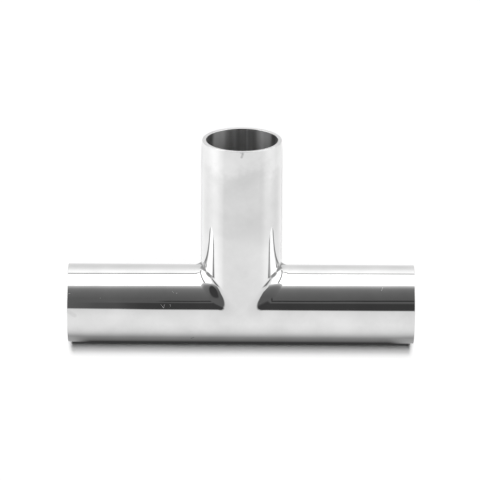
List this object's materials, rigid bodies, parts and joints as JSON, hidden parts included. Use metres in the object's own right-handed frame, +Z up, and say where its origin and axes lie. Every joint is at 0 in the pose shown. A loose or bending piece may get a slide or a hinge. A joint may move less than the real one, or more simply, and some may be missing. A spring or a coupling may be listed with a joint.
{
  "type": "butt weld tee",
  "caption": "Polished stainless equal tee with plain square-cut ends, for butt welding into 25 mm sanitary tube; the branch is drawn out of the run through a smooth saddle.",
  "frame": {"origin": "on the surface the tee lies on, under the middle of its box; the axes of run and branch cross 21.25 mm towards -Y of it and 12.5 mm up", "axes": "X along the run, +Y along the branch towards its open end, +Z up: the tee lies flat with run and branch on the surface"},
  "size_m": [0.11, 0.0676, 0.025],
  "materials": {
    "polished_steel": "mirror-polished stainless steel, slightly duller inside the bores"
  },
  "bodies": {
    "root": {"tee_body": "polished_steel"}
  },
  "joints": []
}
